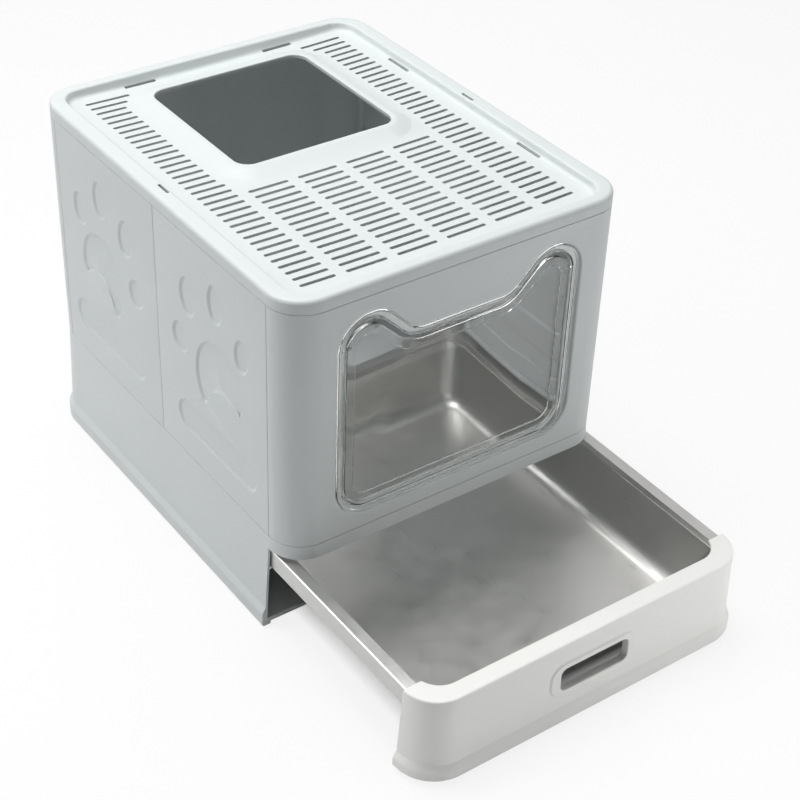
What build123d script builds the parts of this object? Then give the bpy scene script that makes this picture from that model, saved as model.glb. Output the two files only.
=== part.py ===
from build123d import *
import math
import os

# Covered litter box for a cat: a folding housing on a base, a vented lid with an entry hole,
# a clear swing flap in the front and a stainless steel pan that slides out as a drawer.
# X runs left to right, Y from the drawer's face to the back, Z up. Millimetres.
# The origin lies on the floor, below the middle of the box with its drawer pulled out.

# Housing
width = 403.0
depth = 499.0
height = 412.0
corner_radius = 38.0
panel_wall = 3.0
seam_gap = 0.6
fit_gap = 0.3
near = 0.01
merge = 0.5
cut_past = 1.0
panel_edge_round = 0.7

# Base
base_height = 122.0
base_wall = 2.5
base_flare = 4.5
band_height = 16.0
joint_lean = 2.5
joint_gap = 0.6
floor_clear = 4.0
floor_thickness = 5.0
ledge_width = 7.0
ledge_thickness = 3.0
ledge_gap = 1.0
rail_width = 8.0
rail_thickness = 3.5
skirt_flare = 3.3
skirt_height = 24.0
skirt_fall = 7.0
skirt_round = 3.0
skirt_foot_round = 3.2

# Lid
lid_side = 14.3
lid_wall = 3.0
lid_edge_round = 5.0
rim_side = 18.0
rim_end = 15.0
rim_slope = 2.5
rim_edge_round = 3.0
rim_foot_round = 5.0
field_drop = 8.5
field_dish = 3.0
field_thickness = 2.5
entry_width = 192.0
entry_length = 193.0
entry_back = 54.3
entry_radius = 17.0
entry_drop = 4.0
entry_border = 26.0
entry_land = 6.0
entry_lip = 4.0
entry_lip_wall = 2.6
entry_edge_round = 1.2
slot_width = 4.4
slot_pitch = 12.4
slot_front = 41.0
slot_back = 36.0
slot_side = 38.75
side_slot_length = 39.5
slot_mound_gap = 4.75
slot_second_last_past = 2.75
slot_last_past = 11.75
slot_column_gap = 11.9
middle_columns = 4
slot_entry_gap = 36.0
clip_slot_length = 38.0
clip_slot_width = 3.4
clip_spacing_x = 88.0
clip_spacing_y = 117.0
clip_from_rim_side = 4.7
clip_from_rim_end = 5.0
rim_slot_length = 20.0
rim_slot_inset = 14.0
tab_thickness = 3.0
tab_drop = 8.0
flange_thickness = 2.5
flange_below_top = 3.0

# Paw print and bar pressed into each side panel, as offsets from the panel's middle
relief_depth = 2.0
relief_taper = 58.0
toe_offsets = [(-60.0, 52.0), (-12.0, 85.0), (42.0, 65.0), (60.0, 8.0)]
toe_sizes = [(27.0, 40.0), (29.0, 45.0), (31.0, 45.0), (31.0, 36.0)]
toe_tilts = [6.0, 0.0, -6.0, -12.0]
toe_tip = 0.78
pad_corners = [(-60.0, -10.0), (28.0, 2.0), (20.0, -43.0), (7.0, -42.0), (-45.0, -21.0)]
pad_crowns = [(-18.0, 39.0), (29.0, -22.0), (14.0, -48.0), (-13.0, -18.0), (-57.0, -20.0)]
bar_length = 155.0
bar_width = 38.0
bar_offset = (-7.5, -86.0)

# Panel tongues in the base, and the hinges between the panels
tongue_thickness = 2.0
tongue_depth = 12.0
tongue_rise = 8.0
tongue_end_gap = 14.0
hinge_pin_radius = 1.5
running_gap = 0.05
barrel_radius = 3.5
knuckle_count = 5
hinge_margin = 18.0
pin_head_radius = 2.8
pin_head_height = 1.5

# Window in the front panel
window_side = 54.5
window_sill = 17.0
window_head = 18.7
window_corner = 38.0
ear_radius = 37.0
notch_drop = 38.0
notch_fillet = 28.0
recess_depth = 6.0
recess_round = 2.5
window_ledge = 8.0

# Clear frame and flap
frame_edge_gap = 1.0
frame_wall = 2.2
frame_set_back = 0.6
frame_depth = 10.8
frame_edge_round = 2.0
frame_hook_length = 31.0
frame_hook_reach = 2.0
frame_hook_spacing = 62.5
frame_side_hook_height = 300.0
flap_gap = 2.0
flap_head_drop = 4.2
flap_thickness = 4.4
flap_rim = 10.0
flap_pane = 2.2
flap_edge_round = 1.2
flap_pin_radius = 1.25
flap_pin_in_flap = 6.0

# Drawer: plastic front and steel pan
pull = 233.0
drawer_wall = 2.2
drawer_height = 104.5
drawer_floor_gap = 5.0
cap_width = 19.0
cap_corner = 26.0
cap_thickness = 2.5
cap_edge_round = 2.4
handle_width = 85.0
handle_height = 28.0
handle_radius = 7.0
handle_middle = 60.0
handle_lip = 7.0
handle_lip_wall = 2.5
handle_edge_round = 1.0
handle_frame_width = 112.0
handle_frame_height = 44.0
handle_frame_radius = 18.0
handle_frame_rise = 1.4
handle_frame_taper = 60.0
pan_gap = 0.3
pan_length = 484.0
pan_flange = 13.5
pan_sheet = 0.8
pan_lip = 21.0
pan_floor_height = 34.0
pan_taper = 19.5
pan_corner = 22.0
pan_floor_round = 19.0
pan_step_depth = 8.0
pan_step = 0.8
pan_edge_round = 2.5
lip_hook_length = 30.0
lip_hook_reach = 4.0
lip_hook_thickness = 3.0
lip_hook_spacing = 110.0

# Places that follow from the sizes
front = (pull - depth) / 2
back = front + depth
middle = (front + back) / 2
face = front - pull
half_width = width / 2
front_seam = front + corner_radius
back_seam = back - corner_radius
lid_bottom = height - lid_side
panel_bottom = base_height + seam_gap
panel_top = lid_bottom - seam_gap
panel_middle = (panel_bottom + panel_top) / 2
panel_inside = half_width - panel_wall
band_bottom = base_height - band_height
floor_top = floor_clear + floor_thickness
ledge_top = panel_bottom - tongue_depth - ledge_gap
flange_top = panel_top - flange_below_top
wall_lean = base_flare / base_height
wall_draft = math.degrees(math.atan(wall_lean))

field_height = height - field_drop
dish_radius = ((half_width - rim_side) ** 2 + field_dish**2) / (2 * field_dish)
rim_slope_angle = math.degrees(math.atan(rim_slope / field_drop))
clip_x = half_width - rim_side - clip_from_rim_side
clip_y = depth / 2 - rim_end - clip_from_rim_end
tab_x = clip_x + (clip_slot_width + tab_thickness) / 2
tab_y = clip_y + (clip_slot_width + tab_thickness) / 2
flange_side = half_width - tab_x - tab_thickness / 2 - fit_gap
flange_end = depth / 2 - tab_y - tab_thickness / 2 - fit_gap
entry_front = depth - entry_back - entry_length
entry_y = front + entry_front + entry_length / 2
slot_rows = int((depth - slot_front - slot_back) / slot_pitch) + 1
middle_rows = int((entry_front - slot_entry_gap - slot_front) / slot_pitch) + 1
side_slot_end = half_width - slot_side
mound_side = entry_width / 2 + entry_border
middle_slots_width = 2 * (side_slot_end - side_slot_length) - (middle_columns + 1) * slot_column_gap
middle_slot_length = middle_slots_width / middle_columns

barrel_x = panel_inside - barrel_radius - fit_gap
hinge_bottom = panel_bottom + hinge_margin
hinge_top = flange_top - flange_thickness - hinge_margin
knuckle_pitch = (hinge_top - hinge_bottom) / knuckle_count

window_half_width = half_width - window_side
window_bottom = base_height + window_sill
ear_height = lid_bottom - window_head - ear_radius
notch_height = ear_height + ear_radius - notch_drop
pivot_y = front + frame_set_back + frame_depth / 2
frame_inner = window_ledge + fit_gap + frame_wall
flap_outer = frame_inner + flap_gap
seat_y = front + recess_depth - fit_gap
frame_rise = seat_y - front - frame_set_back

cap_bottom = drawer_height - cap_thickness
pan_top = cap_bottom - seam_gap
pan_inset = drawer_wall + pan_gap
pan_front = face + pan_inset
pan_middle = pan_front + pan_length / 2
rim_radius = corner_radius - pan_inset
lip_bottom = pan_top - pan_lip
rail_top = lip_bottom - fit_gap


def plan_outline(level, inset=0.0, y_low=front, y_high=back):
    """A rounded rectangle in plan, drawn in by inset, at a height."""
    with BuildSketch(Plane.XY.offset(level)) as sketch:
        with Locations((0, (y_low + y_high) / 2)):
            RectangleRounded(width - 2 * inset, y_high - y_low - 2 * inset, corner_radius - inset)
    return sketch.sketch


def wall_flare(level):
    """How far the walls of the base and the drawer front stand out at a height."""
    return wall_lean * (base_height - level)


def leaning_block(top, bottom, inset, y_low, y_high):
    """A block between two heights whose sides lean outwards to the floor, drawn in by inset."""
    with BuildPart() as block:
        outline = plan_outline(top, inset - wall_flare(top), y_low, y_high)
        extrude(outline, amount=bottom - top, taper=-wall_draft)
    return block.part


def wall_strip(level, thickness, y_low, y_high, outer_inset=0.0):
    """The part of a rounded wall between two places along Y, in plan."""
    with BuildSketch(Plane.XY.offset(level)) as sketch:
        for inset, mode in ((outer_inset, Mode.ADD), (thickness, Mode.SUBTRACT)):
            with Locations((0, middle)):
                RectangleRounded(width - 2 * inset, depth - 2 * inset, corner_radius - inset, mode=mode)
        with Locations((0, (y_low + y_high) / 2)):
            Rectangle(width + cut_past, y_high - y_low, mode=Mode.INTERSECT)
    return sketch.sketch


def joint_profile(edge, gap, far, top):
    """The side view of what lies on one side of the leaning joint between base and drawer front."""
    lean_per_height = joint_lean / band_bottom
    foot = edge + corner_radius + joint_lean + gap
    with BuildSketch(Plane.YZ) as sketch:
        Polygon(
            (far, -cut_past),
            (foot + lean_per_height * cut_past, -cut_past),
            (foot - lean_per_height * top, top),
            (far, top),
            align=None,
        )
    return sketch.sketch


def skirt_profile(start, bottom):
    """The rolled foot of a left-hand wall: a sloping shoulder above an upright edge."""
    root = -wall_lean * skirt_height - merge
    edge_top = (skirt_flare, skirt_height - skirt_fall)
    shoulder_slope = skirt_fall / (skirt_flare + wall_lean * skirt_height)
    with BuildSketch(Plane(origin=start, x_dir=(-1, 0, 0), z_dir=(0, 1, 0))) as sketch:
        Polygon(
            (root, bottom),
            (skirt_flare, bottom),
            edge_top,
            (root, skirt_height + shoulder_slope * merge),
            align=None,
        )
        fillet(sketch.vertices().sort_by_distance((skirt_flare, bottom))[0], skirt_foot_round)
        fillet(sketch.vertices().sort_by_distance(edge_top)[0], skirt_round)
    return sketch.sketch


def window_outline(y, inset=0.0, head_drop=0.0):
    """The window's outline with two ears and a flat notch, drawn in by inset, upright at y."""
    side = window_half_width - inset
    ear = ear_radius - inset
    slope = ear_height - head_drop + math.sqrt(2) * ear - (window_half_width - ear_radius)
    notch = notch_height - head_drop - inset
    notch_x = notch - slope
    with BuildSketch(Plane.XZ.offset(-y)) as sketch:
        Polygon(
            (-side, window_bottom + inset),
            (side, window_bottom + inset),
            (side, side + slope),
            (notch_x, notch),
            (-notch_x, notch),
            (-side, side + slope),
            align=None,
        )
        fillet(sketch.vertices().group_by(Axis.Y)[0], window_corner - inset)
        fillet(sketch.vertices().group_by(Axis.Y)[-1], ear)
        notch_corners = sketch.vertices().filter_by(lambda corner: abs(abs(corner.X) - notch_x) < near)
        fillet(notch_corners, notch_fillet + inset)
    return sketch.sketch


def knuckle_outline(level, side, seam, own_side, bore):
    """One hinge knuckle in plan: a barrel on the seam, webbed to the panel on its own side."""
    web = panel_inside + merge - barrel_x
    with BuildSketch(Plane.XY.offset(level)) as sketch:
        with Locations((side * barrel_x, seam)):
            Circle(barrel_radius)
        with Locations((side * (barrel_x + web / 2), seam + own_side * (barrel_radius + fit_gap) / 2)):
            Rectangle(web, barrel_radius - fit_gap)
        if bore:
            with Locations((side * barrel_x, seam)):
                Circle(hinge_pin_radius + running_gap, mode=Mode.SUBTRACT)
    return sketch.sketch


def knuckles(side, seam, own_side, first):
    """The knuckles that one panel adds to a hinge: every second one, from the first."""
    with BuildPart() as barrels:
        for number in range(first, knuckle_count, 2):
            bottom = hinge_bottom + number * knuckle_pitch
            extrude(knuckle_outline(bottom, side, seam, own_side, True), amount=knuckle_pitch - fit_gap)
            if number == 0:
                extrude(knuckle_outline(bottom, side, seam, own_side, False), amount=barrel_radius)
    return barrels.part


def end_tongue(wall_face, inward):
    """The tongue of the front or back panel, behind the base's wall."""
    reach = base_wall + fit_gap
    length = width - 2 * corner_radius - tongue_end_gap
    with BuildPart() as tongue:
        with BuildSketch(Plane.XY.offset(panel_bottom - tongue_depth)):
            with Locations((0, wall_face + inward * (reach + tongue_thickness / 2))):
                Rectangle(length, tongue_thickness)
        extrude(amount=tongue_depth + tongue_rise)
        with BuildSketch(Plane.XY.offset(panel_bottom)):
            with Locations((0, wall_face + inward * (panel_wall - merge + reach + tongue_thickness) / 2)):
                Rectangle(length, reach + tongue_thickness - panel_wall + merge)
        extrude(amount=tongue_rise)
    return tongue.part


def toe_outline(across, tall):
    """An oval of four arcs that meet smoothly."""
    half = across / 2
    reach = tall / 2
    tip_radius = toe_tip * half
    side_radius = (reach**2 + half**2 - 2 * reach * tip_radius) / (2 * (half - tip_radius))
    share = tip_radius / (side_radius - tip_radius)
    join_x = share * (side_radius - half)
    join_y = (reach - tip_radius) * (1 + share)
    with BuildSketch() as sketch:
        with BuildLine():
            ThreePointArc((-join_x, join_y), (0, reach), (join_x, join_y))
            ThreePointArc((join_x, join_y), (half, 0), (join_x, -join_y))
            ThreePointArc((join_x, -join_y), (0, -reach), (-join_x, -join_y))
            ThreePointArc((-join_x, -join_y), (-half, 0), (-join_x, join_y))
        make_face()
    return sketch.sketch


def paw_outline(x, centre_y, mirror_sign):
    """Toes, pad and bar as flat outlines on a side panel."""
    plane = Plane(origin=(x, centre_y, panel_middle), x_dir=(0, mirror_sign, 0), z_dir=(mirror_sign, 0, 0))
    with BuildSketch(plane) as sketch:
        for toe_place, size, tilt in zip(toe_offsets, toe_sizes, toe_tilts):
            with Locations(toe_place):
                add(toe_outline(size[0], size[1]), rotation=tilt)
        with BuildLine():
            for number, crown in enumerate(pad_crowns):
                following = pad_corners[(number + 1) % len(pad_corners)]
                ThreePointArc(pad_corners[number], crown, following)
        make_face()
        with Locations(bar_offset):
            SlotOverall(bar_length, bar_width)
    return sketch.sketch


def side_panel(side, end):
    """Half of a side wall: side is -1 for left, end is -1 for the front half."""
    outer_seam = front_seam if end < 0 else back_seam
    centre_y = (outer_seam + middle) / 2
    length = abs(outer_seam - middle) - seam_gap
    tongue_x = half_width - base_wall - fit_gap - tongue_thickness
    with BuildPart() as panel:
        with BuildSketch(Plane.XY.offset(panel_bottom)):
            with Locations((side * (half_width - panel_wall / 2), centre_y)):
                Rectangle(panel_wall, length)
        extrude(amount=panel_top - panel_bottom)
        outer_edges = panel.edges().filter_by(Axis.Z).group_by(Axis.X)[0 if side < 0 else -1]
        fillet(outer_edges, panel_edge_round)
        # Paw print and bar, pressed in from outside and standing out inside
        for x, mode in ((panel_inside, Mode.ADD), (half_width, Mode.SUBTRACT)):
            outline = paw_outline(side * x, centre_y, -end)
            extrude(outline, amount=side * end * relief_depth, taper=relief_taper, mode=mode)
        # Tongue behind the base's wall
        with BuildSketch(Plane.XY.offset(panel_bottom - tongue_depth)):
            with Locations((side * (tongue_x + tongue_thickness / 2), centre_y)):
                Rectangle(tongue_thickness, length - 2 * tongue_end_gap)
        extrude(amount=tongue_depth + tongue_rise)
        with BuildSketch(Plane.XY.offset(panel_bottom)):
            with Locations((side * (tongue_x + panel_inside + merge) / 2, centre_y)):
                Rectangle(panel_inside + merge - tongue_x, length - 2 * tongue_end_gap)
        extrude(amount=tongue_rise)
        # Flange under the lid
        with BuildSketch(Plane.XY.offset(flange_top)):
            with Locations((side * (half_width - flange_side + panel_inside + merge) / 2, centre_y)):
                Rectangle(flange_side - panel_wall + merge, length)
        extrude(amount=-flange_thickness)
        add(knuckles(side, outer_seam, -end, 1))
        add(knuckles(side, middle, end, (1 + end) // 2))
    return panel.part


def hinge_pin(side, seam):
    """A steel pin through the knuckles on one seam, with its head on the top one."""
    top = hinge_bottom + knuckle_count * knuckle_pitch - fit_gap
    with BuildPart() as pin:
        with BuildSketch(Plane.XY.offset(hinge_bottom + barrel_radius + fit_gap)):
            with Locations((side * barrel_x, seam)):
                Circle(hinge_pin_radius)
        extrude(amount=top - hinge_bottom - barrel_radius - fit_gap)
        with BuildSketch(Plane.XY.offset(top)):
            with Locations((side * barrel_x, seam)):
                Circle(pin_head_radius)
        extrude(amount=pin_head_height)
        fillet(pin.edges().group_by(Axis.Z)[-1], pin_head_height / 2)
    return pin.part


def entry_outline(level, grow):
    """The entry hole's outline in plan, grown all round."""
    with BuildSketch(Plane.XY.offset(level)) as sketch:
        with Locations((0, entry_y)):
            RectangleRounded(entry_width + 2 * grow, entry_length + 2 * grow, entry_radius + grow)
    return sketch.sketch


def entry_mound(drop):
    """The soft mound round the entry hole, lowered by drop."""
    foot = field_height - field_dish - drop
    top = height - entry_drop - drop
    with BuildPart() as mound:
        loft([entry_outline(foot, entry_border), entry_outline(top, entry_land)])
        fillet(mound.edges().group_by(Axis.Z)[-1], entry_border / 2)
    return mound.part


def pan_outline(level, inset, radius):
    """A rounded rectangle in plan inside the pan's rim, at a height."""
    with BuildSketch(Plane.XY.offset(level)) as sketch:
        with Locations((0, pan_middle)):
            RectangleRounded(width - 2 * (pan_inset + inset), pan_length - 2 * inset, radius)
    return sketch.sketch


def pan_basin(grow):
    """The pan's hollow, grown all round: a stepped rim over tapering walls and a rounded floor."""
    step_level = pan_top - pan_step_depth - grow
    corner = pan_corner + grow
    floor_outline = pan_outline(pan_floor_height - grow, pan_flange + pan_taper - grow, corner)
    with BuildPart() as basin:
        loft([floor_outline, pan_outline(step_level, pan_flange + pan_step - grow, corner)])
        fillet(basin.edges().group_by(Axis.Z)[0], pan_floor_round + grow)
        extrude(pan_outline(step_level, pan_flange - grow, corner), amount=pan_top - step_level)
    return basin.part


with BuildPart() as base:
    add(leaning_block(base_height, 0, 0, front, back))
    extrude(plan_outline(0, base_wall), amount=floor_clear, mode=Mode.SUBTRACT)
    add(leaning_block(base_height, floor_top, base_wall, front, back), mode=Mode.SUBTRACT)
    # Ledge under the panels' tongues
    ledge = wall_strip(ledge_top, base_wall + ledge_width, front, back, base_wall / 2)
    extrude(ledge, amount=-ledge_thickness)
    # Rails under the pan's lip, along both walls
    rail_x = half_width - (base_wall + rail_width) / 2
    with BuildSketch(Plane.XY.offset(rail_top)):
        for side in (-1, 1):
            with Locations((side * rail_x, (front + back_seam) / 2)):
                Rectangle(base_wall + rail_width, depth - corner_radius)
    extrude(amount=-rail_thickness)
    # Rolled foot round the sides and the back
    foot_x = half_width + base_flare
    foot_back = back + base_flare
    with BuildLine() as skirt_path:
        left = Line((-foot_x, front, 0), (-foot_x, back_seam, 0))
        left_corner = TangentArc(left @ 1, (-half_width + corner_radius, foot_back, 0), tangent=left % 1)
        rear = Line(left_corner @ 1, (half_width - corner_radius, foot_back, 0))
        right_corner = TangentArc(rear @ 1, (foot_x, back_seam, 0), tangent=rear % 1)
        Line(right_corner @ 1, (foot_x, front, 0))
    sweep(skirt_profile(left @ 0, 0), path=skirt_path.line)
    # Below the band the drawer's front takes the place of the walls, up to a leaning joint
    front_space = joint_profile(front, 0, front - base_flare - skirt_flare - cut_past, band_bottom)
    extrude(front_space, amount=width, both=True, mode=Mode.SUBTRACT)
base.part.label = "base"

with BuildPart() as front_panel:
    front_wall = wall_strip(panel_bottom, panel_wall, front, front_seam - seam_gap / 2)
    extrude(front_wall, amount=panel_top - panel_bottom)
    seam_edges = front_panel.edges().filter_by(Axis.Z).group_by(Axis.Y)[-1].sort_by(Axis.X)
    fillet([seam_edges[0], seam_edges[-1]], panel_edge_round)
    # The window's recess, its walls and its ledge
    extrude(window_outline(front + panel_wall / 2, -panel_wall), amount=-(recess_depth + panel_wall / 2))
    extrude(window_outline(front), amount=-recess_depth, mode=Mode.SUBTRACT)
    extrude(window_outline(front, window_ledge), amount=-(recess_depth + 2 * panel_wall), mode=Mode.SUBTRACT)
    recess_edges = front_panel.edges().filter_by_position(Axis.Y, front - near, front + near)
    recess_edges = recess_edges.filter_by_position(Axis.Z, window_bottom - merge, panel_top - merge)
    recess_edges = recess_edges.filter_by(lambda edge: abs(edge.center().X) < window_half_width + merge)
    fillet(recess_edges, recess_round)
    # Flange under the lid, tongue behind the base's band, and hinge knuckles at both corners
    extrude(
        wall_strip(flange_top, flange_end, front, front_seam - seam_gap / 2, panel_wall - merge),
        amount=-flange_thickness,
    )
    add(end_tongue(front, 1))
    for side in (-1, 1):
        add(knuckles(side, front_seam, -1, 0))
front_panel.part.label = "front_panel"

with BuildPart() as back_panel:
    back_wall = wall_strip(panel_bottom, panel_wall, back_seam + seam_gap / 2, back)
    extrude(back_wall, amount=panel_top - panel_bottom)
    seam_edges = back_panel.edges().filter_by(Axis.Z).group_by(Axis.Y)[0].sort_by(Axis.X)
    fillet([seam_edges[0], seam_edges[-1]], panel_edge_round)
    extrude(
        wall_strip(flange_top, flange_end, back_seam + seam_gap / 2, back, panel_wall - merge),
        amount=-flange_thickness,
    )
    add(end_tongue(back, -1))
    for side in (-1, 1):
        add(knuckles(side, back_seam, 1, 0))
back_panel.part.label = "back_panel"

panels_and_pins = []
for side, side_name in ((-1, "left"), (1, "right")):
    for end, end_name in ((-1, "front"), (1, "rear")):
        panel = side_panel(side, end)
        panel.label = "side_panel_" + side_name + "_" + end_name
        panels_and_pins.append(panel)
    fold_pin = hinge_pin(side, middle)
    fold_pin.label = "fold_pin_" + side_name
    front_pin = hinge_pin(side, front_seam)
    front_pin.label = "corner_pin_front_" + side_name
    back_pin = hinge_pin(side, back_seam)
    back_pin.label = "corner_pin_back_" + side_name
    panels_and_pins += [fold_pin, front_pin, back_pin]

# The hollow of the clear ring, open towards the recess
with BuildPart() as ring_hollow:
    extrude(window_outline(seat_y, frame_edge_gap + frame_wall), amount=frame_rise - frame_wall)
    extrude(window_outline(seat_y, window_ledge + fit_gap), amount=frame_rise, mode=Mode.SUBTRACT)

with BuildPart() as window_frame:
    extrude(window_outline(seat_y, frame_edge_gap), amount=frame_rise)
    extrude(window_outline(seat_y, window_ledge + fit_gap), amount=frame_rise - frame_depth)
    extrude(window_outline(front, frame_inner), amount=-2 * frame_depth, mode=Mode.SUBTRACT)
    fillet(window_frame.edges().group_by(Axis.Y)[0], frame_edge_round)
    add(ring_hollow.part, mode=Mode.SUBTRACT)
    # Snap hooks behind the recess's ledge, below and at both sides
    hook_front = front + recess_depth + panel_wall + fit_gap
    hook_back = front + frame_set_back + frame_depth
    with BuildSketch(Plane.XZ.offset(-hook_front)):
        for side in (-1, 1):
            with Locations((side * frame_hook_spacing, window_bottom + window_ledge + fit_gap + merge)):
                Rectangle(frame_hook_length, frame_hook_reach + merge, align=(Align.CENTER, Align.MAX))
            side_hook_x = window_half_width - window_ledge - fit_gap + (frame_hook_reach - merge) / 2
            with Locations((side * side_hook_x, frame_side_hook_height)):
                Rectangle(frame_hook_reach + merge, frame_hook_length)
    extrude(amount=hook_front - hook_back)
    # Holes for the flap's pins
    with BuildSketch(Plane.YZ):
        with Locations((pivot_y, ear_height)):
            Circle(flap_pin_radius + running_gap)
    extrude(amount=window_half_width - window_ledge, both=True, mode=Mode.SUBTRACT)
window_frame.part.label = "window_frame"

with BuildPart() as window_flap:
    extrude(window_outline(pivot_y + flap_thickness / 2, flap_outer, flap_head_drop), amount=flap_thickness)
    fillet(window_flap.edges().group_by(Axis.Y)[0], flap_edge_round)
    fillet(window_flap.edges().group_by(Axis.Y)[-1], flap_edge_round)
    extrude(
        window_outline(pivot_y - flap_thickness / 2, flap_outer + flap_rim, flap_head_drop),
        amount=flap_pane - flap_thickness,
        mode=Mode.SUBTRACT,
    )
    # Blind holes for the pins in both edges
    for side in (-1, 1):
        with BuildSketch(Plane.YZ.offset(side * (window_half_width - flap_outer + cut_past))):
            with Locations((pivot_y, ear_height)):
                Circle(flap_pin_radius + running_gap)
        extrude(amount=-side * (flap_pin_in_flap + cut_past), mode=Mode.SUBTRACT)
window_flap.part.label = "window_flap"

flap_pins = []
for side, side_name in ((-1, "left"), (1, "right")):
    pin_outer = window_half_width - window_ledge - fit_gap
    pin_inner = window_half_width - flap_outer - flap_pin_in_flap + fit_gap
    with BuildPart() as flap_pin:
        with BuildSketch(Plane.YZ.offset(side * pin_inner)):
            with Locations((pivot_y, ear_height)):
                Circle(flap_pin_radius)
        extrude(amount=side * (pin_outer - pin_inner))
    flap_pin.part.label = "flap_pin_" + side_name
    flap_pins.append(flap_pin.part)

# The space above the lid's dished field, inside the rim
with BuildPart() as field_space:
    with BuildSketch(Plane.XY.offset(height)):
        with Locations((0, middle)):
            RectangleRounded(width - 2 * rim_side, depth - 2 * rim_end, corner_radius - rim_end)
    extrude(amount=-(field_drop + field_dish), taper=rim_slope_angle)
    with BuildSketch(Plane.XZ.offset(-middle)):
        with Locations((0, field_height - field_dish + dish_radius)):
            Circle(dish_radius)
    extrude(amount=depth, both=True, mode=Mode.INTERSECT)
    fillet(field_space.edges().filter_by(lambda edge: edge.center().Z < field_height + near), rim_foot_round)

# The space under the lid: below the dished field, and up into the rim
with BuildPart() as under_space:
    extrude(plan_outline(lid_bottom - cut_past, lid_wall), amount=field_height - lid_bottom + cut_past)
    with BuildSketch(Plane.XZ.offset(-middle)):
        with Locations((0, field_height - field_dish + dish_radius)):
            Circle(dish_radius + field_thickness)
    extrude(amount=depth, both=True, mode=Mode.SUBTRACT)
    with BuildSketch(Plane.XY.offset(lid_bottom - cut_past)):
        with Locations((0, middle)):
            RectangleRounded(width - 2 * lid_wall, depth - 2 * lid_wall, corner_radius - lid_wall)
            RectangleRounded(
                width - 2 * (rim_side - lid_wall),
                depth - 2 * (rim_end - lid_wall),
                corner_radius - rim_end + lid_wall,
                mode=Mode.SUBTRACT,
            )
    extrude(amount=height - lid_wall - lid_bottom + cut_past)

with BuildPart() as lid:
    extrude(plan_outline(lid_bottom), amount=lid_side)
    fillet(lid.edges().group_by(Axis.Z)[-1], lid_edge_round)
    add(field_space.part, mode=Mode.SUBTRACT)
    fillet(lid.faces().filter_by(Plane.XY).sort_by(Axis.Z)[-1].inner_wires()[0].edges(), rim_edge_round)
    add(under_space.part, mode=Mode.SUBTRACT)
    # Mound and lip of the entry hole
    add(entry_mound(0))
    add(entry_mound(field_thickness), mode=Mode.SUBTRACT)
    extrude(entry_outline(height - entry_drop, entry_lip_wall), amount=-entry_lip)
    extrude(entry_outline(height, 0), amount=-height, mode=Mode.SUBTRACT)
    entry_top = height - entry_drop
    entry_reach = entry_width / 2 + near
    entry_edges = lid.edges().filter_by_position(Axis.Z, entry_top - near, entry_top + near)
    entry_edges = entry_edges.filter_by_position(Axis.X, -entry_reach, entry_reach)
    entry_edges = entry_edges.filter_by_position(Axis.Y, front + entry_front - near, back - entry_back + near)
    fillet(entry_edges, entry_edge_round)
    # Vent slots in six columns; the side columns go all the way back
    with BuildSketch(Plane.XY.offset(height)):
        for row in range(slot_rows):
            y = front + slot_front + row * slot_pitch
            length = side_slot_length
            if y > front + entry_front:
                length = side_slot_end - mound_side - slot_mound_gap
            if row == slot_rows - 2:
                length = side_slot_end - mound_side + slot_second_last_past
            if row == slot_rows - 1:
                length = side_slot_end - mound_side + slot_last_past
            for side in (-1, 1):
                with Locations((side * (side_slot_end - length / 2), y)):
                    SlotOverall(length, slot_width)
            if row < middle_rows:
                with Locations((0, y)):
                    with GridLocations(middle_slot_length + slot_column_gap, slot_pitch, middle_columns, 1):
                        SlotOverall(middle_slot_length, slot_width)
        # Slots over the clip tabs
        with Locations((0, middle)):
            with GridLocations(2 * clip_spacing_x, 2 * clip_y, 2, 2):
                SlotOverall(clip_slot_length, clip_slot_width)
            with GridLocations(2 * clip_x, 2 * clip_spacing_y, 2, 2):
                SlotOverall(clip_slot_length, clip_slot_width, rotation=90)
            with GridLocations(2 * (half_width - rim_slot_inset), clip_spacing_y, 2, 1):
                SlotOverall(rim_slot_length, clip_slot_width, rotation=90)
    extrude(amount=-(height - lid_bottom), mode=Mode.SUBTRACT)
    # Clip tabs that reach down inside the panels' flanges
    with BuildSketch(Plane.XY.offset(lid_bottom - tab_drop)):
        with Locations((0, middle)):
            with GridLocations(2 * clip_spacing_x, 2 * tab_y, 2, 2):
                Rectangle(clip_slot_length, tab_thickness)
            with GridLocations(2 * tab_x, 2 * clip_spacing_y, 2, 2):
                Rectangle(tab_thickness, clip_slot_length)
    extrude(amount=tab_drop + field_height - field_thickness + merge - lid_bottom)
lid.part.label = "lid"

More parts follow.
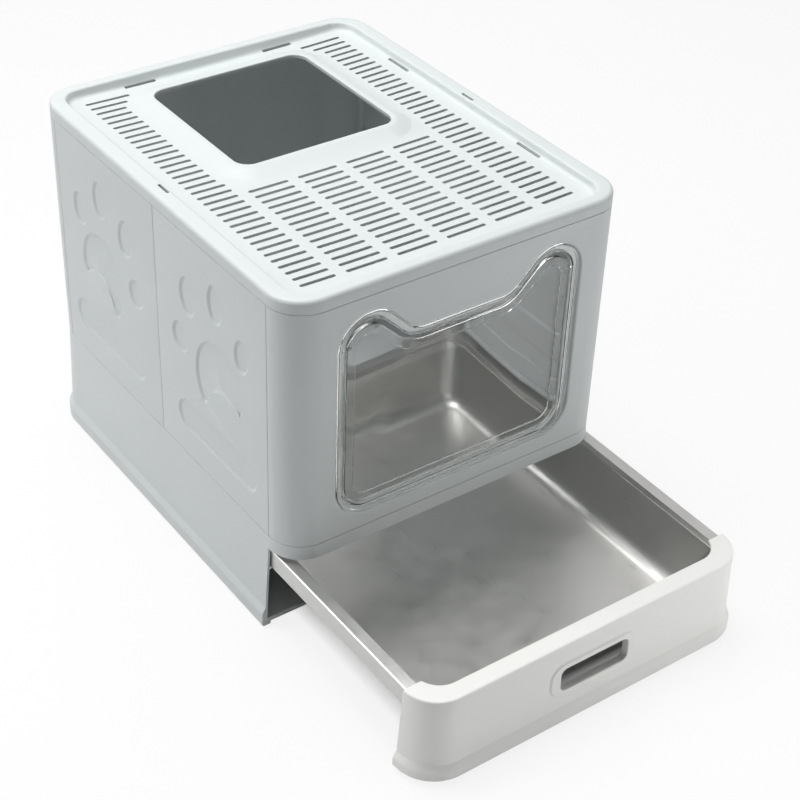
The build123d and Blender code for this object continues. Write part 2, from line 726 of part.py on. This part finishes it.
with BuildPart() as drawer_front:
    drawer_back = face + depth
    add(leaning_block(drawer_height, drawer_floor_gap, 0, face, drawer_back))
    fillet(drawer_front.edges().group_by(Axis.Z)[-1], cap_edge_round)
    add(leaning_block(cap_bottom, drawer_floor_gap, drawer_wall, face, drawer_back), mode=Mode.SUBTRACT)
    with BuildSketch(Plane.XY.offset(cap_bottom)):
        with Locations((0, (face + drawer_back) / 2)):
            RectangleRounded(width - 2 * cap_width, depth - 2 * cap_width, cap_corner)
    extrude(amount=cap_thickness, mode=Mode.SUBTRACT)
    # Rolled foot round the front and its corners
    corner_x = half_width - corner_radius
    corner_y = face + corner_radius
    foot_end = corner_y + corner_radius
    foot_face = face - base_flare
    with BuildLine() as foot_path:
        foot_left = Line((-foot_x, foot_end, 0), (-foot_x, corner_y, 0))
        foot_left_corner = TangentArc(foot_left @ 1, (-corner_x, foot_face, 0), tangent=foot_left % 1)
        foot_front = Line(foot_left_corner @ 1, (corner_x, foot_face, 0))
        foot_right_corner = TangentArc(foot_front @ 1, (foot_x, corner_y, 0), tangent=foot_front % 1)
        Line(foot_right_corner @ 1, (foot_x, foot_end, 0))
    sweep(skirt_profile(foot_left @ 0, drawer_floor_gap), path=foot_path.line)
    # Hooks under the pan's lip
    with BuildSketch(Plane.XY.offset(lip_bottom - fit_gap)):
        for side in (-1, 1):
            with Locations((side * lip_hook_spacing, face)):
                Rectangle(lip_hook_length, drawer_wall + lip_hook_reach, align=(Align.CENTER, Align.MIN))
    extrude(amount=-lip_hook_thickness)
    # Handle: a raised frame round a lipped opening, square to the leaning wall
    handle_wall = Plane(
        origin=(0, face - wall_flare(handle_middle), handle_middle),
        x_dir=(1, 0, 0),
        z_dir=(0, -1, wall_lean),
    )
    with BuildSketch(handle_wall):
        RectangleRounded(handle_frame_width, handle_frame_height, handle_frame_radius)
    extrude(amount=handle_frame_rise, taper=handle_frame_taper)
    with BuildSketch(handle_wall):
        RectangleRounded(
            handle_width + 2 * handle_lip_wall,
            handle_height + 2 * handle_lip_wall,
            handle_radius + handle_lip_wall,
        )
    extrude(amount=-handle_lip)
    with BuildSketch(handle_wall.offset(handle_frame_rise)):
        RectangleRounded(handle_width, handle_height, handle_radius)
    extrude(amount=-(handle_frame_rise + handle_lip), mode=Mode.SUBTRACT)
    holed_faces = drawer_front.faces().filter_by(handle_wall).filter_by(lambda side: side.inner_wires())
    fillet(holed_faces.sort_by(Axis.Y)[0].inner_wires()[0].edges(), handle_edge_round)
    # The front ends at the leaning joint
    past_back = drawer_back + base_flare + skirt_flare + cut_past
    extrude(
        joint_profile(face, -joint_gap, past_back, drawer_height + cut_past),
        amount=width,
        both=True,
        mode=Mode.SUBTRACT,
    )
drawer_front.part.label = "drawer_front"

# The space under the pan's rim, inside its lip
with BuildPart() as under_rim:
    extrude(pan_outline(lip_bottom, pan_sheet, rim_radius - pan_sheet), amount=pan_lip - pan_sheet)
    fillet(under_rim.edges().group_by(Axis.Z)[-1], pan_edge_round - pan_sheet)

with BuildPart() as steel_pan:
    extrude(pan_outline(lip_bottom, 0, rim_radius), amount=pan_lip)
    fillet(steel_pan.edges().group_by(Axis.Z)[-1], pan_edge_round)
    add(under_rim.part, mode=Mode.SUBTRACT)
    add(pan_basin(pan_sheet))
    add(pan_basin(0), mode=Mode.SUBTRACT)
steel_pan.part.label = "steel_pan"

os.makedirs("parts", exist_ok=True)
pieces = [base.part, front_panel.part, back_panel.part, window_frame.part, window_flap.part]
pieces += [lid.part, drawer_front.part, steel_pan.part]
for piece in pieces + panels_and_pins + flap_pins:
    export_step(piece, "parts/" + piece.label + ".step")
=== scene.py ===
import math

import bpy
from mathutils import Matrix, Vector


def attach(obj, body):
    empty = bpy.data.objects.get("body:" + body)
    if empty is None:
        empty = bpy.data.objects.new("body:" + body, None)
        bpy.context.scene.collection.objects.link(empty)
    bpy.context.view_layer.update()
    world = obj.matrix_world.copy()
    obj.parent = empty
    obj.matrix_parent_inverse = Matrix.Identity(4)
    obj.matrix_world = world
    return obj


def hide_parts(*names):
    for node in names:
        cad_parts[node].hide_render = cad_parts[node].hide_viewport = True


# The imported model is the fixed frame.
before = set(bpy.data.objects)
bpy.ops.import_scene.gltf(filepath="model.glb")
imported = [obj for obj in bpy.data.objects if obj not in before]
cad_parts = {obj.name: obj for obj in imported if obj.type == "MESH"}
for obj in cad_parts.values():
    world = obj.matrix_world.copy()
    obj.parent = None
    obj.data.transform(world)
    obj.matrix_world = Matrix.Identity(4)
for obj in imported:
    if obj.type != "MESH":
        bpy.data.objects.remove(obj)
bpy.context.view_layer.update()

# Camera
# The photograph is taken from the front left and well above the lid, with a long lens.
# The camera leans a little to one side.
camera_place = (-0.9172, -1.2634, 1.3004)
camera_looks = (0.48194, 0.64558, -0.59242)
camera_roll = math.radians(2.35)
sensor_width = 36.0
lens_length = 81.04
camera_reach = 30.0

camera_data = bpy.data.cameras.new("camera")
camera_data.sensor_width = sensor_width
camera_data.lens = lens_length
camera_data.clip_end = camera_reach
camera = bpy.data.objects.new("camera", camera_data)
bpy.context.scene.collection.objects.link(camera)
aim = Vector(camera_looks).to_track_quat("-Z", "Y").to_matrix()
rolled_aim = aim @ Matrix.Rotation(camera_roll, 3, "Z")
camera.matrix_world = Matrix.Translation(camera_place) @ rolled_aim.to_4x4()
bpy.context.scene.camera = camera

# Base
# The base is one injection moulding in pale grey polypropylene: four walls round a floor, with a
# rolled foot that stiffens the lower edge. Its skin is satin with a fine even grain.
housing_colour = (0.665, 0.705, 0.705, 1.0)
housing_colour_shift = 0.025
housing_roughness = 0.42
housing_roughness_shift = 0.06
housing_grain_scale = 1400.0
housing_grain_height = 0.00003
plastic_index = 1.49
cloud_scale = 9.0
cloud_detail = 3.0
gloss_scale = 60.0
gloss_detail = 4.0
grain_detail = 2.0
pattern_middle = 0.5
smooth_angle = math.radians(26)
merge_distance = 0.000002


def feed(links, socket, value):
    """Set a socket to a number, or link another node's output to it."""
    if isinstance(value, float):
        socket.default_value = value
    else:
        links.new(value, socket)


def uneven_pattern(nodes, links, place, scale, detail):
    """An uneven pattern over a piece, from 0 to 1."""
    noise = nodes.new("ShaderNodeTexNoise")
    feed(links, noise.inputs["Vector"], place)
    feed(links, noise.inputs["Scale"], scale)
    feed(links, noise.inputs["Detail"], detail)
    return noise.outputs["Fac"]


def worked_out(nodes, links, operation, *values):
    """One step of arithmetic on numbers and other nodes' outputs."""
    step = nodes.new("ShaderNodeMath")
    step.operation = operation
    for socket, value in zip(step.inputs, values):
        feed(links, socket, value)
    return step.outputs[0]


def fine_relief(nodes, links, pattern, height):
    """A normal that follows a pattern as a relief of the given height."""
    bump = nodes.new("ShaderNodeBump")
    bump.inputs["Strength"].default_value = 1.0
    feed(links, bump.inputs["Distance"], height)
    feed(links, bump.inputs["Height"], pattern)
    return bump.outputs["Normal"]


def moulded_skin_group():
    """Grain, a slight cloudiness and uneven gloss, as on any moulded plastic."""
    group = bpy.data.node_groups.new("Moulded skin", "ShaderNodeTree")
    for name, kind in (
        ("Colour", "NodeSocketColor"),
        ("Colour shift", "NodeSocketFloat"),
        ("Roughness", "NodeSocketFloat"),
        ("Roughness shift", "NodeSocketFloat"),
        ("Grain scale", "NodeSocketFloat"),
        ("Grain height", "NodeSocketFloat"),
    ):
        group.interface.new_socket(name=name, in_out="INPUT", socket_type=kind)
    for name, kind in (
        ("Colour", "NodeSocketColor"),
        ("Roughness", "NodeSocketFloat"),
        ("Normal", "NodeSocketVector"),
    ):
        group.interface.new_socket(name=name, in_out="OUTPUT", socket_type=kind)
    nodes = group.nodes
    links = group.links
    given = nodes.new("NodeGroupInput").outputs
    result = nodes.new("NodeGroupOutput").inputs
    place = nodes.new("ShaderNodeTexCoord").outputs["Object"]

    cloud = uneven_pattern(nodes, links, place, cloud_scale, cloud_detail)
    cloud_swing = worked_out(nodes, links, "SUBTRACT", cloud, pattern_middle)
    shade = worked_out(nodes, links, "MULTIPLY_ADD", cloud_swing, given["Colour shift"], 1.0)
    tinted = nodes.new("ShaderNodeVectorMath")
    tinted.operation = "SCALE"
    links.new(given["Colour"], tinted.inputs[0])
    links.new(shade, tinted.inputs["Scale"])
    links.new(tinted.outputs["Vector"], result["Colour"])

    gloss = uneven_pattern(nodes, links, place, gloss_scale, gloss_detail)
    gloss_swing = worked_out(nodes, links, "SUBTRACT", gloss, pattern_middle)
    rough = worked_out(
        nodes, links, "MULTIPLY_ADD", gloss_swing, given["Roughness shift"], given["Roughness"]
    )
    links.new(rough, result["Roughness"])

    grain = uneven_pattern(nodes, links, place, given["Grain scale"], grain_detail)
    links.new(fine_relief(nodes, links, grain, given["Grain height"]), result["Normal"])
    return group


def moulded_plastic(name, colour, roughness, colour_shift, roughness_shift, grain_scale, grain_height):
    """An opaque moulded plastic with its own colour, gloss and grain."""
    material = bpy.data.materials.new(name)
    material.use_nodes = True
    nodes = material.node_tree.nodes
    links = material.node_tree.links
    shader = nodes["Principled BSDF"]
    shader.inputs["IOR"].default_value = plastic_index
    skin = nodes.new("ShaderNodeGroup")
    skin.node_tree = bpy.data.node_groups.get("Moulded skin") or moulded_skin_group()
    skin.inputs["Colour"].default_value = colour
    skin.inputs["Colour shift"].default_value = colour_shift
    skin.inputs["Roughness"].default_value = roughness
    skin.inputs["Roughness shift"].default_value = roughness_shift
    skin.inputs["Grain scale"].default_value = grain_scale
    skin.inputs["Grain height"].default_value = grain_height
    links.new(skin.outputs["Colour"], shader.inputs["Base Color"])
    links.new(skin.outputs["Roughness"], shader.inputs["Roughness"])
    links.new(skin.outputs["Normal"], shader.inputs["Normal"])
    return material


def finished_copy(node, body, material):
    """A copy of a CAD piece with its triangles joined and its curved faces shaded smooth."""
    piece = bpy.data.objects.new(node + "_finished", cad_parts[node].data.copy())
    bpy.context.scene.collection.objects.link(piece)
    bpy.ops.object.select_all(action="DESELECT")
    piece.select_set(True)
    bpy.context.view_layer.objects.active = piece
    bpy.ops.object.mode_set(mode="EDIT")
    bpy.ops.mesh.select_all(action="SELECT")
    bpy.ops.mesh.remove_doubles(threshold=merge_distance)
    bpy.ops.mesh.customdata_custom_splitnormals_clear()
    bpy.ops.object.mode_set(mode="OBJECT")
    bpy.ops.object.shade_smooth_by_angle(angle=smooth_angle)
    piece.data.materials.clear()
    piece.data.materials.append(material)
    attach(piece, body)
    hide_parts(node)
    return piece


housing_plastic = moulded_plastic(
    "Pale grey polypropylene",
    housing_colour,
    housing_roughness,
    housing_colour_shift,
    housing_roughness_shift,
    housing_grain_scale,
    housing_grain_height,
)
finished_copy("base", "housing", housing_plastic)

# Side walls and hinge pins
# Each side wall is two mouldings hinged on the middle line, so that the ring of walls folds flat.
# A paw print is pressed into each half. Plain steel wire pins join the knuckles inside.
wire_colour = (0.56, 0.55, 0.54, 1.0)
wire_roughness = 0.35
wire_roughness_shift = 0.1
scratches_across = 3000.0
scratches_along = 90.0
scratch_detail = 2.0


def lengthways_pattern(nodes, links, scale, detail):
    """An uneven pattern with a scale of its own along each axis of the piece."""
    place = nodes.new("ShaderNodeTexCoord")
    stretch = nodes.new("ShaderNodeMapping")
    stretch.inputs["Scale"].default_value = scale
    links.new(place.outputs["Object"], stretch.inputs["Vector"])
    return uneven_pattern(nodes, links, stretch.outputs["Vector"], 1.0, detail)


def plain_wire(name, colour, roughness):
    """Drawn wire with faint scratches along its length, which is upright."""
    material = bpy.data.materials.new(name)
    material.use_nodes = True
    nodes = material.node_tree.nodes
    links = material.node_tree.links
    shader = nodes["Principled BSDF"]
    shader.inputs["Metallic"].default_value = 1.0
    shader.inputs["Base Color"].default_value = colour
    scratch_scale = (scratches_across, scratches_across, scratches_along)
    scratches = lengthways_pattern(nodes, links, scratch_scale, scratch_detail)
    span = nodes.new("ShaderNodeMapRange")
    span.inputs["To Min"].default_value = roughness - wire_roughness_shift
    span.inputs["To Max"].default_value = roughness + wire_roughness_shift
    links.new(scratches, span.inputs["Value"])
    links.new(span.outputs["Result"], shader.inputs["Roughness"])
    return material


pin_wire = plain_wire("Drawn steel wire", wire_colour, wire_roughness)
for side in ("left", "right"):
    for end in ("front", "rear"):
        wall = "side_panel_%s_%s" % (side, end)
        finished_copy(wall, "housing", housing_plastic)
    for pin in ("fold_pin_", "corner_pin_front_", "corner_pin_back_"):
        finished_copy(pin + side, "housing", pin_wire)

# Front and back walls
# Both are single mouldings in the base's polypropylene that wrap round the corners. The front one
# has a recess for the window, in the outline of a cat's head.
finished_copy("front_panel", "housing", housing_plastic)
finished_copy("back_panel", "housing", housing_plastic)

# Window frame and flap
# A clear ring clips into the recess, and a clear flap with a raised rim hangs in it on two pins.
# Both are polished clear styrene, with bright edges and a slightly wavy face.
clear_tint = (0.985, 0.988, 0.985, 1.0)
clear_roughness = 0.03
clear_index = 1.5
wave_scale = 25.0
wave_detail = 1.0
wave_height = 0.00006


def clear_plastic(name, tint, roughness):
    """Polished clear plastic that lets daylight through to what stands behind it."""
    material = bpy.data.materials.new(name)
    material.use_nodes = True
    nodes = material.node_tree.nodes
    links = material.node_tree.links
    shader = nodes["Principled BSDF"]
    shader.inputs["Base Color"].default_value = tint
    shader.inputs["Roughness"].default_value = roughness
    shader.inputs["IOR"].default_value = clear_index
    shader.inputs["Transmission Weight"].default_value = 1.0
    place = nodes.new("ShaderNodeTexCoord").outputs["Object"]
    waves = uneven_pattern(nodes, links, place, wave_scale, wave_detail)
    links.new(fine_relief(nodes, links, waves, wave_height), shader.inputs["Normal"])
    see_through = nodes.new("ShaderNodeBsdfTransparent")
    see_through.inputs["Color"].default_value = tint
    path = nodes.new("ShaderNodeLightPath").outputs
    daylight = worked_out(nodes, links, "MAXIMUM", path["Is Shadow Ray"], path["Is Diffuse Ray"])
    mix = nodes.new("ShaderNodeMixShader")
    links.new(daylight, mix.inputs["Fac"])
    links.new(shader.outputs["BSDF"], mix.inputs[1])
    links.new(see_through.outputs["BSDF"], mix.inputs[2])
    links.new(mix.outputs["Shader"], nodes["Material Output"].inputs["Surface"])
    return material


clear_styrene = clear_plastic("Clear styrene", clear_tint, clear_roughness)
finished_copy("window_frame", "housing", clear_styrene)
finished_copy("window_flap", "flap", clear_styrene)
for side in ("left", "right"):
    finished_copy("flap_pin_" + side, "housing", clear_styrene)

# Lid
# The lid is one moulding in the same grey polypropylene: a rounded rim round a slightly dished
# field, with rows of vent slots and a square entry hole whose edge rolls inwards.
finished_copy("lid", "lid", housing_plastic)

# Drawer front
# The drawer's front is moulded in a warmer white than the housing, smooth and a little glossier.
# Its top cap lies over the pan's rim, and two hooks behind it hold the rim from below.
drawer_colour = (0.93, 0.93, 0.905, 1.0)
drawer_colour_shift = 0.02
drawer_roughness = 0.36
drawer_roughness_shift = 0.05
drawer_grain_scale = 900.0
drawer_grain_height = 0.00001

drawer_plastic = moulded_plastic(
    "Warm white polypropylene",
    drawer_colour,
    drawer_roughness,
    drawer_colour_shift,
    drawer_roughness_shift,
    drawer_grain_scale,
    drawer_grain_height,
)
finished_copy("drawer_front", "drawer", drawer_plastic)

# Pan
# The pan is pressed from stainless sheet in one piece. Its skin is satin from rolling, with faint
# lines along its length and a mottled gloss where the press has drawn it.
pan_colour = (0.62, 0.615, 0.60, 1.0)
pan_roughness = 0.33
pan_roughness_shift = 0.09
roll_lines_across = 2200.0
roll_lines_along = 25.0
roll_line_detail = 3.0
roll_line_height = 0.000006
mottle_scale = 45.0
mottle_detail = 4.0
mottle_share = 0.5
pattern_low = 0.25
pattern_high = 0.75


def pressed_steel(name, colour, roughness):
    """Rolled stainless sheet with fine raised lines along Y and a mottled gloss."""
    material = bpy.data.materials.new(name)
    material.use_nodes = True
    nodes = material.node_tree.nodes
    links = material.node_tree.links
    shader = nodes["Principled BSDF"]
    shader.inputs["Metallic"].default_value = 1.0
    shader.inputs["Base Color"].default_value = colour
    line_scale = (roll_lines_across, roll_lines_along, roll_lines_across)
    lines = lengthways_pattern(nodes, links, line_scale, roll_line_detail)
    place = nodes.new("ShaderNodeTexCoord").outputs["Object"]
    mottle = uneven_pattern(nodes, links, place, mottle_scale, mottle_detail)
    line_part = worked_out(nodes, links, "MULTIPLY", lines, 1.0 - mottle_share)
    both = worked_out(nodes, links, "MULTIPLY_ADD", mottle, mottle_share, line_part)
    span = nodes.new("ShaderNodeMapRange")
    span.inputs["From Min"].default_value = pattern_low
    span.inputs["From Max"].default_value = pattern_high
    span.inputs["To Min"].default_value = roughness - pan_roughness_shift
    span.inputs["To Max"].default_value = roughness + pan_roughness_shift
    links.new(both, span.inputs["Value"])
    links.new(span.outputs["Result"], shader.inputs["Roughness"])
    links.new(fine_relief(nodes, links, lines, roll_line_height), shader.inputs["Normal"])
    return material


pan_steel = pressed_steel("Rolled stainless sheet", pan_colour, pan_roughness)
finished_copy("steel_pan", "drawer", pan_steel)

# Studio
# A pale floor, white to the camera save below the box, and soft lamps: two above, one at the back
# left and a low one at the front right, unseen in reflections. The world is white to the camera and
# through the window, grey in reflections and dim as light.
floor_size = 12.0
floor_colour = (0.9, 0.9, 0.9, 1.0)
floor_roughness = 0.8
floor_gloss = 0.1
floor_white_share = 0.85
shade_half_width = 0.13
shade_half_length = 0.32
shade_edge = 0.04
box_middle = (0.0, 0.0, 0.2)
drawer_middle = (0.1, -0.36, 0.06)
world_colour = (1.0, 1.0, 1.0, 1.0)
world_light = 0.08
world_in_reflections = 0.6
world_seen = 1.0


def soft_light(name, place, target, size, power):
    """A square soft light that points at a target."""
    data = bpy.data.lights.new(name, "AREA")
    data.size = size
    data.energy = power
    lamp = bpy.data.objects.new(name, data)
    bpy.context.scene.collection.objects.link(lamp)
    direction = Vector(target) - Vector(place)
    lamp_aim = direction.to_track_quat("-Z", "Y").to_matrix()
    lamp.matrix_world = Matrix.Translation(place) @ lamp_aim.to_4x4()
    return lamp


bpy.ops.object.select_all(action="DESELECT")
bpy.ops.mesh.primitive_plane_add(size=floor_size)
floor = bpy.context.active_object
floor.name = "floor"
floor_material = bpy.data.materials.new("Pale floor")
floor_material.use_nodes = True
floor_nodes = floor_material.node_tree.nodes
floor_links = floor_material.node_tree.links
floor_shader = floor_nodes["Principled BSDF"]
floor_shader.inputs["Base Color"].default_value = floor_colour
floor_shader.inputs["Roughness"].default_value = floor_roughness
floor_shader.inputs["Specular IOR Level"].default_value = floor_gloss
floor_glow = floor_nodes.new("ShaderNodeEmission")
floor_glow.inputs["Strength"].default_value = 1.0
floor_place = floor_nodes.new("ShaderNodeTexCoord")
floor_axes = floor_nodes.new("ShaderNodeSeparateXYZ")
floor_links.new(floor_place.outputs["Object"], floor_axes.inputs["Vector"])
past_shade = []
for axis, half_shade in (("X", shade_half_width), ("Y", shade_half_length)):
    away = worked_out(floor_nodes, floor_links, "ABSOLUTE", floor_axes.outputs[axis])
    past_shade.append(worked_out(floor_nodes, floor_links, "SUBTRACT", away, half_shade))
outside = worked_out(floor_nodes, floor_links, "MAXIMUM", *past_shade)
glow_share = floor_nodes.new("ShaderNodeMapRange")
glow_share.inputs["From Max"].default_value = shade_edge
glow_share.inputs["To Max"].default_value = floor_white_share
floor_links.new(outside, glow_share.inputs["Value"])
floor_path = floor_nodes.new("ShaderNodeLightPath")
floor_seen = worked_out(
    floor_nodes, floor_links, "MULTIPLY", floor_path.outputs["Is Camera Ray"], glow_share.outputs["Result"]
)
floor_mix = floor_nodes.new("ShaderNodeMixShader")
floor_links.new(floor_seen, floor_mix.inputs["Fac"])
floor_links.new(floor_shader.outputs["BSDF"], floor_mix.inputs[1])
floor_links.new(floor_glow.outputs["Emission"], floor_mix.inputs[2])
floor_links.new(floor_mix.outputs["Shader"], floor_nodes["Material Output"].inputs["Surface"])
floor.data.materials.append(floor_material)

soft_light("overhead", place=(0.0, 0.5, 2.6), target=box_middle, size=2.4, power=48.0)
soft_light("overhead_small", place=(-0.3, 0.4, 2.4), target=box_middle, size=0.8, power=14.0)
soft_light("back_left", place=(-2.0, 1.3, 2.1), target=box_middle, size=1.4, power=27.0)
low_front = soft_light("low_front", place=(0.65, -1.0, 0.12), target=drawer_middle, size=0.5, power=3.8)
low_front.visible_glossy = False

world = bpy.data.worlds.new("studio")
bpy.context.scene.world = world
world.use_nodes = True
world_nodes = world.node_tree.nodes
world_links = world.node_tree.links
world_path = world_nodes.new("ShaderNodeLightPath").outputs
added_glow = world_in_reflections - world_light
room_glow = worked_out(
    world_nodes, world_links, "MULTIPLY_ADD", world_path["Is Glossy Ray"], added_glow, world_light
)
room = world_nodes["Background"]
room.inputs["Color"].default_value = world_colour
world_links.new(room_glow, room.inputs["Strength"])
backdrop = world_nodes.new("ShaderNodeBackground")
backdrop.inputs["Color"].default_value = world_colour
backdrop.inputs["Strength"].default_value = world_seen
straight = worked_out(
    world_nodes, world_links, "MAXIMUM", world_path["Is Camera Ray"], world_path["Is Transmission Ray"]
)
world_mix = world_nodes.new("ShaderNodeMixShader")
world_links.new(straight, world_mix.inputs["Fac"])
world_links.new(room.outputs["Background"], world_mix.inputs[1])
world_links.new(backdrop.outputs["Background"], world_mix.inputs[2])
world_links.new(world_mix.outputs["Shader"], world_nodes["World Output"].inputs["Surface"])

bpy.context.scene.view_settings.view_transform = "Standard"
